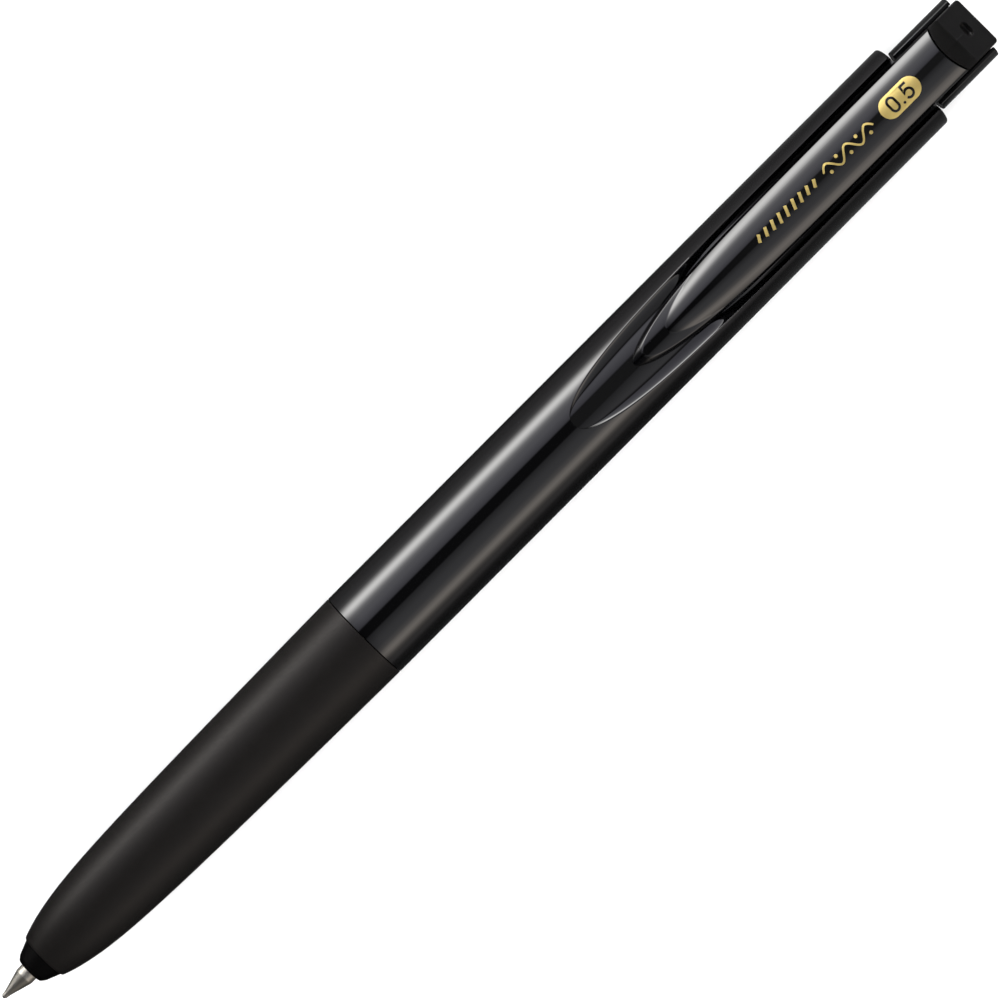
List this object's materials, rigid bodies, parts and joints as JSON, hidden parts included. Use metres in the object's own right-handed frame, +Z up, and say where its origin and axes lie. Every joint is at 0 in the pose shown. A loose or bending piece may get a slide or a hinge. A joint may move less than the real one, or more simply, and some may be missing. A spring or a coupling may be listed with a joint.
{
  "type": "retractable gel pen",
  "caption": "Slim retractable gel pen with a soft grip, a steel point and a clip that slides with its push end.",
  "frame": {"origin": "centre of the pen's bounding box, on the surface it lies on", "axes": "+X along the pen from the point towards the push end, +Z up through the clip"},
  "size_m": [0.14, 0.0104, 0.0104],
  "materials": {
    "gloss_black": "high gloss moulded",
    "nose_black": "satin moulded",
    "matte_black": "matte moulded",
    "grip_rubber": "soft matte elastomer",
    "point_steel": "turned",
    "spring_steel": "drawn wire",
    "ball_carbide": "polished",
    "clear_tube": "translucent",
    "white_plastic": "natural moulded",
    "guide_plastic": "moulded",
    "ink": "wet",
    "grease": "clear grease",
    "gold_foil": "hot-stamped foil"
  },
  "bodies": {
    "barrel": {"rear_barrel": "gloss_black", "cam_guide": "guide_plastic"},
    "front_section": {"front_barrel": "nose_black", "grip": "grip_rubber", "return_spring": "spring_steel"},
    "refill": {"refill_tube": "clear_tube", "nib_holder": "white_plastic", "nib": "point_steel", "ball_spring": "spring_steel", "gel_ink": "ink", "ink_follower": "grease", "tail_plug": "guide_plastic"},
    "ball": {"tip_ball": "ball_carbide"},
    "rotor_body": {"rotor": "white_plastic"},
    "push_unit": {"push_tube": "gloss_black", "end_cap": "matte_black", "plunger": "guide_plastic"},
    "clip_arm": {"clip": "gloss_black"}
  },
  "joints": [
    {"name": "push_slide", "type": "slide", "parent": "barrel", "child": "push_unit", "axis": [1, 0, 0], "range_m": [-0.00045, 0.0055], "stiffness_N_per_m": 100},
    {"name": "refill_slide", "type": "slide", "parent": "barrel", "child": "refill", "axis": [1, 0, 0], "range_m": [-0.00045, 0.0055], "deforming": ["return_spring"]},
    {"name": "rotor_turn", "type": "hinge", "parent": "refill", "child": "rotor_body", "pos_m": [0.038, 0, 0.00519], "axis": [1, 0, 0], "continuous": true},
    {"name": "clip_flex", "type": "hinge", "parent": "push_unit", "child": "clip_arm", "pos_m": [0.063, 0, 0.00859], "axis": [0, 1, 0], "range_deg": [0, 3], "stiffness_Nm_per_rad": 1.5},
    {"name": "front_section_off", "type": "slide", "parent": "barrel", "child": "front_section", "axis": [-1, 0, 0], "range_m": [0, 0.064]},
    {"name": "ball_roll", "type": "hinge", "parent": "refill", "child": "ball", "pos_m": [-0.06975, 0, 0.00519], "axis": [0, 1, 0], "continuous": true}
  ],
  "couplings": [
    {"joint": "refill_slide", "follows": "push_slide", "ratio": 1}
  ]
}
